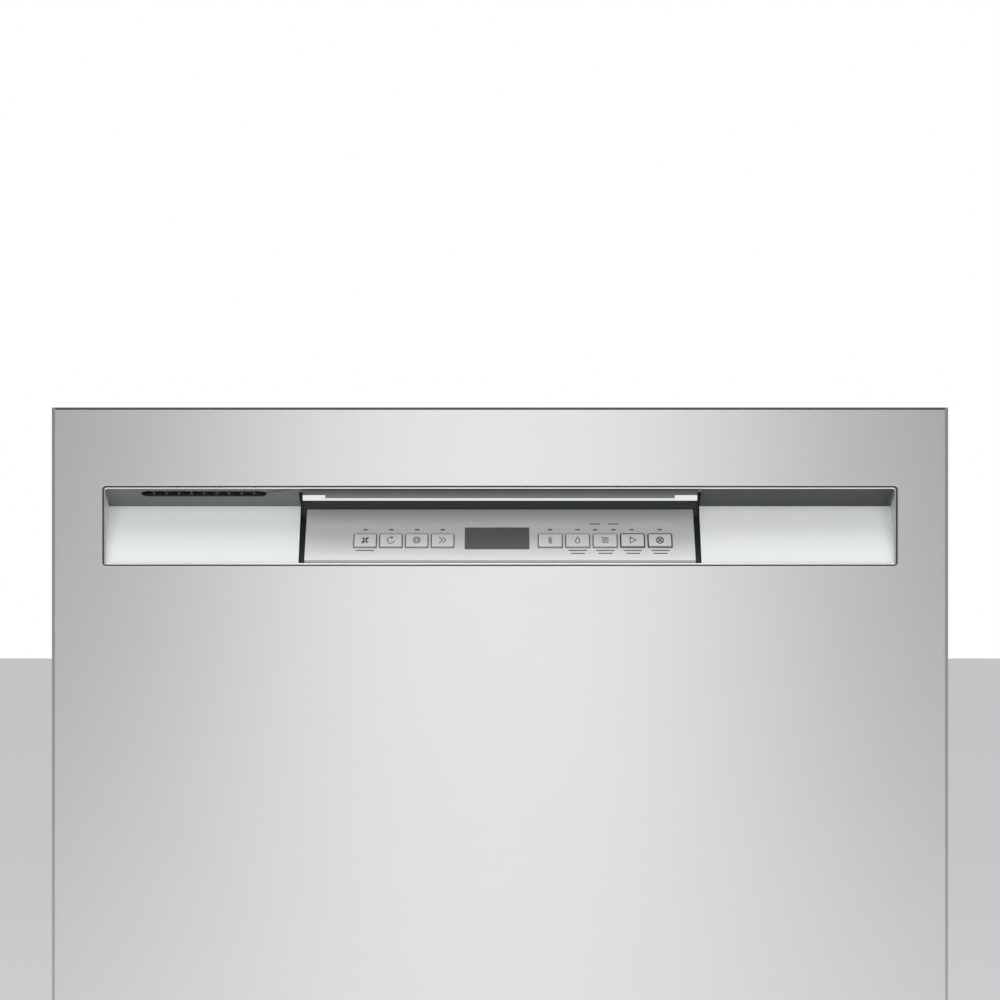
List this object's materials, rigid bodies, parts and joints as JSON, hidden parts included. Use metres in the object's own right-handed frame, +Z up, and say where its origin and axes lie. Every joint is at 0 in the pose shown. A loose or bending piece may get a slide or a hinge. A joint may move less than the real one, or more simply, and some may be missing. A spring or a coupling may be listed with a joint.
{
  "type": "built-in dishwasher",
  "caption": "Built-in dishwasher with a brushed steel door, a wide pocket handle with slanted push-button controls, two wire racks, spray arms and a steel tub.",
  "frame": {"origin": "floor level, at the middle of the footprint", "axes": "+X to the right seen from the front, +Y from the door towards the back, +Z up"},
  "size_m": [0.606, 0.622, 0.871],
  "materials": {
    "steel": "horizontally brushed stainless steel",
    "tub_steel": "satin stainless steel",
    "light_plastic": "moulded light grey ABS, fine texture",
    "fascia_plastic": "painted silver grey ABS",
    "grip_plastic": "satin silver ABS",
    "black_plastic": "moulded black ABS",
    "display": "smoked acrylic",
    "light_pipe": "clear grey light pipe",
    "board": "coated circuit board",
    "grey_plastic": "moulded grey polypropylene",
    "pale_plastic": "moulded light grey polypropylene",
    "rubber": "black EPDM",
    "bitumen": "bitumen damping sheet",
    "zinc": "zinc plated steel",
    "spring": "spring steel",
    "heater": "heat darkened alloy sheath",
    "wire": "nylon coated steel wire",
    "toe_paint": "black painted steel",
    "valve": "moulded blue nylon"
  },
  "bodies": {
    "cabinet": {"tub_wrapper": "tub_steel", "tub_back": "tub_steel", "tub_floor": "tub_steel", "tub_gasket": "rubber", "damping_pads": "bitumen", "base_frame": "zinc", "toe_panel": "toe_paint", "levelling_legs": "zinc", "mounting_brackets": "zinc", "strike_hook": "zinc", "counter_springs": "spring", "spring_cables": "spring", "heater_element": "heater", "sump": "grey_plastic", "filter_plate": "tub_steel", "wash_pump": "black_plastic", "drain_pump": "grey_plastic", "inlet_valve": "valve", "fill_hose": "rubber", "junction_box": "zinc", "feed_tube": "pale_plastic", "rail_rollers": "grey_plastic"},
    "door": {"door_panel": "steel", "pocket_housing": "light_plastic", "vent_grille": "black_plastic", "control_fascia": "fascia_plastic", "grip_bar": "grip_plastic", "display_window": "display", "indicator_lights": "light_pipe", "control_board": "board", "door_liner": "tub_steel", "door_gasket": "rubber", "door_latch": "black_plastic", "dispenser_body": "pale_plastic", "hinge_arms": "zinc"},
    "lower_rack": {"lower_rack": "wire", "silverware_basket": "grey_plastic"},
    "upper_rack": {"upper_rack": "wire"},
    "upper_rails": {"upper_rails": "tub_steel"},
    "dispenser_lid": {"dispenser_lid": "grey_plastic"},
    "rinse_cap": {"rinse_cap": "grey_plastic"},
    "fold_tines": {"fold_tines": "wire"},
    "lower_wheels_front": {"lower_wheels_front": "grey_plastic"},
    "lower_wheels_rear": {"lower_wheels_rear": "grey_plastic"},
    "upper_wheels_front": {"upper_wheels_front": "grey_plastic"},
    "upper_wheels_rear": {"upper_wheels_rear": "grey_plastic"},
    "lower_spray_arm": {"lower_spray_arm": "pale_plastic"},
    "middle_spray_arm": {"middle_spray_arm": "pale_plastic"},
    "top_spray_arm": {"top_spray_arm": "pale_plastic"},
    "filter_cup": {"filter_cup": "grey_plastic"},
    "float_dome": {"float_dome": "light_plastic"},
    "button_boost": {"button_boost": "fascia_plastic"},
    "button_auto": {"button_auto": "fascia_plastic"},
    "button_normal": {"button_normal": "fascia_plastic"},
    "button_quick": {"button_quick": "fascia_plastic"},
    "button_high_temp": {"button_high_temp": "fascia_plastic"},
    "button_sanitize": {"button_sanitize": "fascia_plastic"},
    "button_heated_dry": {"button_heated_dry": "fascia_plastic"},
    "button_start": {"button_start": "fascia_plastic"},
    "button_cancel": {"button_cancel": "fascia_plastic"}
  },
  "joints": [
    {"name": "door_hinge", "type": "hinge", "parent": "cabinet", "child": "door", "pos_m": [0, -0.262, 0.13], "axis": [1, 0, 0], "range_deg": [0, 90], "stiffness_Nm_per_rad": 17, "springref_deg": -6.88, "deforming": ["counter_springs", "spring_cables"]},
    {"name": "lower_rack_roll", "type": "slide", "parent": "cabinet", "child": "lower_rack", "axis": [0, -1, 0], "range_m": [0, 0.08]},
    {"name": "upper_rails_slide", "type": "slide", "parent": "cabinet", "child": "upper_rails", "axis": [0, -1, 0], "range_m": [0, 0.32]},
    {"name": "upper_rack_roll", "type": "slide", "parent": "cabinet", "child": "upper_rack", "axis": [0, -1, 0], "range_m": [0, 0.42]},
    {"name": "press_boost", "type": "slide", "parent": "door", "child": "button_boost", "axis": [0, 0.7071, -0.7071], "range_m": [0, 0.0007], "stiffness_N_per_m": 900},
    {"name": "press_auto", "type": "slide", "parent": "door", "child": "button_auto", "axis": [0, 0.7071, -0.7071], "range_m": [0, 0.0007], "stiffness_N_per_m": 900},
    {"name": "press_normal", "type": "slide", "parent": "door", "child": "button_normal", "axis": [0, 0.7071, -0.7071], "range_m": [0, 0.0007], "stiffness_N_per_m": 900},
    {"name": "press_quick", "type": "slide", "parent": "door", "child": "button_quick", "axis": [0, 0.7071, -0.7071], "range_m": [0, 0.0007], "stiffness_N_per_m": 900},
    {"name": "press_high_temp", "type": "slide", "parent": "door", "child": "button_high_temp", "axis": [0, 0.7071, -0.7071], "range_m": [0, 0.0007], "stiffness_N_per_m": 900},
    {"name": "press_sanitize", "type": "slide", "parent": "door", "child": "button_sanitize", "axis": [0, 0.7071, -0.7071], "range_m": [0, 0.0007], "stiffness_N_per_m": 900},
    {"name": "press_heated_dry", "type": "slide", "parent": "door", "child": "button_heated_dry", "axis": [0, 0.7071, -0.7071], "range_m": [0, 0.0007], "stiffness_N_per_m": 900},
    {"name": "press_start", "type": "slide", "parent": "door", "child": "button_start", "axis": [0, 0.7071, -0.7071], "range_m": [0, 0.0007], "stiffness_N_per_m": 900},
    {"name": "press_cancel", "type": "slide", "parent": "door", "child": "button_cancel", "axis": [0, 0.7071, -0.7071], "range_m": [0, 0.0007], "stiffness_N_per_m": 900},
    {"name": "dispenser_lid_slide", "type": "slide", "parent": "door", "child": "dispenser_lid", "axis": [1, 0, 0], "range_m": [0, 0.055]},
    {"name": "rinse_cap_turn", "type": "hinge", "parent": "door", "child": "rinse_cap", "pos_m": [0.044, -0.263, 0.45], "axis": [0, 1, 0], "range_deg": [0, 90]},
    {"name": "lower_arm_spin", "type": "hinge", "parent": "cabinet", "child": "lower_spray_arm", "pos_m": [0, 0.02, 0.156], "axis": [0, 0, 1], "continuous": true},
    {"name": "middle_arm_spin", "type": "hinge", "parent": "upper_rack", "child": "middle_spray_arm", "pos_m": [0, 0.02, 0.475], "axis": [0, 0, 1], "continuous": true},
    {"name": "top_arm_spin", "type": "hinge", "parent": "cabinet", "child": "top_spray_arm", "pos_m": [0, 0.02, 0.821], "axis": [0, 0, 1], "continuous": true},
    {"name": "filter_cup_twist", "type": "hinge", "parent": "cabinet", "child": "filter_cup", "pos_m": [0.045, -0.055, 0.11], "axis": [0, 0, 1], "range_deg": [0, 90]},
    {"name": "float_rise", "type": "slide", "parent": "cabinet", "child": "float_dome", "axis": [0, 0, 1], "range_m": [0, 0.006]},
    {"name": "tines_fold", "type": "hinge", "parent": "lower_rack", "child": "fold_tines", "pos_m": [0, 0.062, 0.185], "axis": [1, 0, 0], "range_deg": [-78, 0]},
    {"name": "lower_wheels_front_roll", "type": "hinge", "parent": "lower_rack", "child": "lower_wheels_front", "pos_m": [0, -0.188, 0.1674], "axis": [1, 0, 0], "continuous": true},
    {"name": "lower_wheels_rear_roll", "type": "hinge", "parent": "lower_rack", "child": "lower_wheels_rear", "pos_m": [0, 0.1805, 0.1674], "axis": [1, 0, 0], "continuous": true},
    {"name": "upper_wheels_front_roll", "type": "hinge", "parent": "upper_rack", "child": "upper_wheels_front", "pos_m": [0, -0.11, 0.57], "axis": [1, 0, 0], "continuous": true},
    {"name": "upper_wheels_rear_roll", "type": "hinge", "parent": "upper_rack", "child": "upper_wheels_rear", "pos_m": [0, 0.18, 0.57], "axis": [1, 0, 0], "continuous": true}
  ],
  "couplings": [
    {"joint": "lower_rack_roll", "follows": "door_hinge", "m_per_rad": 0.0509},
    {"joint": "upper_rails_slide", "follows": "door_hinge", "m_per_rad": 0.2037},
    {"joint": "upper_rack_roll", "follows": "door_hinge", "m_per_rad": 0.2673}
  ]
}
